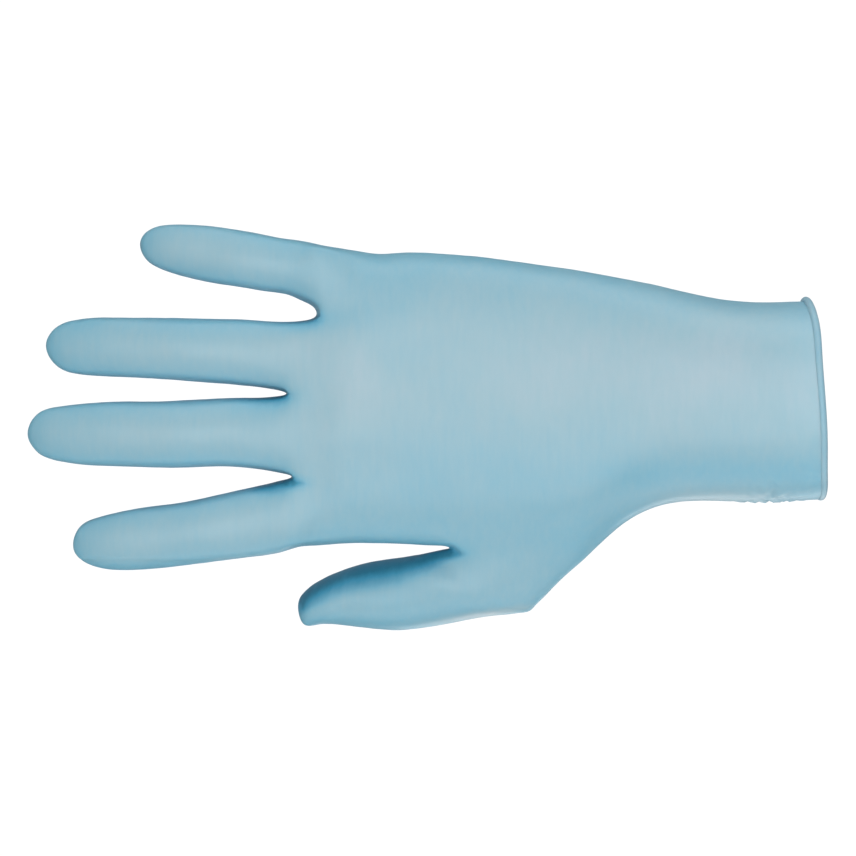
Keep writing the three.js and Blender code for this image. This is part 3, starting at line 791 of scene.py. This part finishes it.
# The grain of the cured skin is finer than the render can show, so it is drawn coarser.
grain = add_node(
    tree,
    "ShaderNodeTexNoise",
    (-900, -200),
    {"Scale": 1 / (GRAIN_SIZE * MM), "Detail": 2.0},
    Vector=where,
)
grain_bump = add_node(
    tree,
    "ShaderNodeBump",
    (-500, -200),
    {"Strength": 0.1, "Distance": GRAIN_DEPTH * MM},
    Height=grain.outputs["Fac"],
)
surface = add_node(
    tree,
    "ShaderNodeBsdfPrincipled",
    (-200, 0),
    {
        "Roughness": 0.42,
        "IOR": 1.5,
        "Subsurface Weight": 0.5,
        "Subsurface Scale": 0.0012,
        "Subsurface Radius": (0.7, 0.95, 1.0),
    },
    Normal=grain_bump.outputs["Normal"],
)
tree.links.new(tones.outputs["Color"], surface.inputs["Base Color"])
add_node(tree, "ShaderNodeOutputMaterial", (200, 0), Surface=surface.outputs["BSDF"])
film_mesh.materials.append(nitrile)

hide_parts("glove")
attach(film, "root")

# The rolled rim: while it is wet, the film's open end is rolled down on itself to a round bead, which
# keeps the mouth from tearing. It follows the film's last loop of edges.
RIM_WIDTH = 2.3
RIM_SIDES = 20
RIM_SUNK = 0.7
RIM_BLUE = 0.28
border_edges = {}
for face in film_mesh.polygons:
    for key in face.edge_keys:
        border_edges[key] = border_edges.get(key, 0) + 1
open_edges = [key for key, count in border_edges.items() if count == 1]
after = {}
for a, b in open_edges:
    after.setdefault(a, []).append(b)
    after.setdefault(b, []).append(a)
mouth_loop = [open_edges[0][0]]
mouth_loop.append(after[mouth_loop[0]][0])
while True:
    here, previous = mouth_loop[-1], mouth_loop[-2]
    step_on = [q for q in after[here] if q != previous][0]
    if step_on == mouth_loop[0]:
        break
    mouth_loop.append(step_on)
# The roll lies sunk in the film's end below, and stands proud of it towards the little finger's side.
rim_line = []
for v in mouth_loop:
    end_point = film_mesh.vertices[v]
    upward_share = min(1.0, max(0.0, end_point.co.z / MM / (CUFF_WIDTH / 2)))
    rim_line.append(end_point.co + end_point.normal * (upward_share**2 - RIM_SUNK) * MM)
rim_curve = bpy.data.curves.new("rolled_rim_line", "CURVE")
rim_curve.dimensions = "3D"
spline = rim_curve.splines.new("POLY")
spline.points.add(len(rim_line) - 1)
for spline_point, place in zip(spline.points, rim_line):
    spline_point.co = (*place, 1)
spline.use_cyclic_u = True
rim_path = bpy.data.objects.new("rolled_rim_line", rim_curve)
bpy.context.collection.objects.link(rim_path)

rim_tree = bpy.data.node_groups.new("roll_the_rim", "GeometryNodeTree")
rim_tree.interface.new_socket("Geometry", in_out="INPUT", socket_type="NodeSocketGeometry")
bead_width = rim_tree.interface.new_socket("Bead width", in_out="INPUT", socket_type="NodeSocketFloat")
bead_sides = rim_tree.interface.new_socket("Bead sides", in_out="INPUT", socket_type="NodeSocketInt")
rim_tree.interface.new_socket("Geometry", in_out="OUTPUT", socket_type="NodeSocketGeometry")
rim_in = add_node(rim_tree, "NodeGroupInput", (-600, 0))
rim_half = add_node(
    rim_tree,
    "ShaderNodeMath",
    (-400, -150),
    {"operation": "MULTIPLY"},
    _0=rim_in.outputs["Bead width"],
)
rim_half.inputs[1].default_value = 0.5
bead = add_node(
    rim_tree,
    "GeometryNodeCurvePrimitiveCircle",
    (-200, -150),
    Resolution=rim_in.outputs["Bead sides"],
    Radius=rim_half.outputs[0],
)
swept = add_node(
    rim_tree,
    "GeometryNodeCurveToMesh",
    (0, 0),
    Curve=rim_in.outputs["Geometry"],
    Profile_Curve=bead.outputs["Curve"],
)
shaded = add_node(rim_tree, "GeometryNodeSetShadeSmooth", (200, 0), Geometry=swept.outputs["Mesh"])
real = add_node(rim_tree, "GeometryNodeRealizeInstances", (400, 0), Geometry=shaded.outputs["Geometry"])
rim_material = add_node(
    rim_tree,
    "GeometryNodeSetMaterial",
    (600, 0),
    {"Material": nitrile},
    Geometry=real.outputs["Geometry"],
)
add_node(rim_tree, "NodeGroupOutput", (800, 0), Geometry=rim_material.outputs["Geometry"])
rolling = rim_path.modifiers.new("rolling", "NODES")
rolling.node_group = rim_tree
rolling[bead_width.identifier] = RIM_WIDTH * MM
rolling[bead_sides.identifier] = RIM_SIDES
rim_mesh = bpy.data.meshes.new_from_object(rim_path.evaluated_get(bpy.context.evaluated_depsgraph_get()))
rim_mesh.name = "rolled_rim"
bpy.data.objects.remove(rim_path)
rim_blue = rim_mesh.attributes.new("blue_depth_and_painted_light", "FLOAT", "POINT")
rim_blue.data.foreach_set("value", [RIM_BLUE] * len(rim_mesh.vertices))
rim = bpy.data.objects.new("rolled_rim", rim_mesh)
bpy.context.collection.objects.link(rim)

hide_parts("glove")
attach(rim, "root")

# The camera looks straight at the back of the hand from about a metre, as in the photograph.
CAMERA_DISTANCE = 0.95
LENS = 132.98
SENSOR = 36
camera_data = bpy.data.cameras.new("camera")
camera_data.lens = LENS
camera_data.sensor_width = SENSOR
camera = bpy.data.objects.new("camera", camera_data)
camera.location = (-0.11625, -CAMERA_DISTANCE, -0.00871)
camera.rotation_euler = (math.pi / 2, 0, 0)
bpy.context.collection.objects.link(camera)
bpy.context.scene.camera = camera

# The stage is a pale floor that sweeps up into a white wall all round, far outside the glove.
STAGE_REACH = 1.9
STAGE_BEND = 0.4
STAGE_HEIGHT = 3.0
BEND_STEPS = 12
SPOKES = 64
FLOOR_LEVEL = -0.42
profile = [(0.0, 0.0)]
for step in range(BEND_STEPS + 1):
    angle = math.radians(90 * step / BEND_STEPS)
    bend_out = STAGE_BEND * math.sin(angle)
    profile.append((STAGE_REACH - STAGE_BEND + bend_out, STAGE_BEND - STAGE_BEND * math.cos(angle)))
profile.append((STAGE_REACH, STAGE_HEIGHT))
stage_points = [(0.0, 0.0, FLOOR_LEVEL)]
stage_faces = []
for reach, height in profile[1:]:
    for spoke in range(SPOKES):
        angle = 2 * math.pi * spoke / SPOKES
        stage_points.append((reach * math.cos(angle), reach * math.sin(angle), FLOOR_LEVEL + height))
for spoke in range(SPOKES):
    stage_faces.append((0, 1 + spoke, 1 + (spoke + 1) % SPOKES))
for level in range(len(profile) - 2):
    for spoke in range(SPOKES):
        a = 1 + level * SPOKES + spoke
        b = 1 + level * SPOKES + (spoke + 1) % SPOKES
        stage_faces.append((a, a + SPOKES, b + SPOKES, b))
stage_mesh = bpy.data.meshes.new("white_sweep")
stage_mesh.from_pydata(stage_points, [], stage_faces)
for face in stage_mesh.polygons:
    face.use_smooth = True
sweep = bpy.data.objects.new("white_sweep", stage_mesh)
bpy.context.collection.objects.link(sweep)
sweep_paint = bpy.data.materials.new("matt_white_sweep")
sweep_paint.use_nodes = True
sweep_tree = sweep_paint.node_tree
sweep_tree.nodes.clear()
sweep_where = add_node(sweep_tree, "ShaderNodeTexCoord", (-900, 0)).outputs["Object"]
sweep_split = add_node(sweep_tree, "ShaderNodeSeparateXYZ", (-700, 0), Vector=sweep_where)
wall_share = add_node(
    sweep_tree,
    "ShaderNodeMapRange",
    (-500, 0),
    {"From Min": FLOOR_LEVEL, "From Max": FLOOR_LEVEL + 0.03, "To Min": 0.86},
    Value=sweep_split.outputs["Z"],
)
floor_paint = add_node(sweep_tree, "ShaderNodeBsdfDiffuse", (-500, 200), {"Color": linear("#f2f4f5")})
wall_glow = add_node(
    sweep_tree,
    "ShaderNodeEmission",
    (-500, -300),
    {"Color": linear("#ffffff"), "Strength": 1.05},
)
sweep_mix = add_node(sweep_tree, "ShaderNodeMixShader", (-200, 0), _0=wall_share.outputs["Result"])
sweep_tree.links.new(floor_paint.outputs["BSDF"], sweep_mix.inputs[1])
sweep_tree.links.new(wall_glow.outputs["Emission"], sweep_mix.inputs[2])
add_node(sweep_tree, "ShaderNodeOutputMaterial", (0, 0), Surface=sweep_mix.outputs["Shader"])
stage_mesh.materials.append(sweep_paint)
sweep.visible_diffuse = False
sweep.visible_glossy = False
sweep.visible_shadow = False

# Soft light: a wide panel in front, strips above and below, a panel behind for the palm's side that
# leaves no shine on the outline, and an even dim room round them.
room = bpy.data.worlds.new("dim_room")
room.use_nodes = True
room.node_tree.nodes["Background"].inputs["Color"].default_value = linear("#dfe6ea")
room.node_tree.nodes["Background"].inputs["Strength"].default_value = 0.42
bpy.context.scene.world = room
# Each panel: name, place, the point that it faces, width and height in metres, and watts.
PANELS = [
    ("front_panel", (-0.12, -1.30, -0.10), (-0.12, 0.0, -0.01), 1.4, 1.2, 10.5),
    ("top_strip", (-0.08, -0.25, 0.80), (-0.10, 0.0, 0.0), 1.0, 0.4, 2.3),
    ("low_strip", (-0.05, -0.25, -0.80), (-0.10, 0.0, 0.0), 1.0, 0.4, 1.6),
    ("back_panel", (-0.1, 1.3, 0.05), (-0.11, 0.0, 0.0), 1.2, 1.0, 10.0),
    ("rim_strip", (0.10, 0.55, -0.50), (-0.04, 0.0, -0.03), 0.5, 0.10, 0.9),
]
for name, place, aim, width, height, watts in PANELS:
    panel = bpy.data.lights.new(name, "AREA")
    panel.shape = "RECTANGLE"
    panel.size = width
    panel.size_y = height
    panel.energy = watts
    lamp = bpy.data.objects.new(name, panel)
    lamp.location = place
    lamp.rotation_mode = "QUATERNION"
    lamp.rotation_quaternion = (Vector(aim) - Vector(place)).to_track_quat("-Z", "Y")
    lamp.visible_glossy = name != "back_panel"
    bpy.context.collection.objects.link(lamp)
bpy.context.scene.view_settings.view_transform = "Standard"
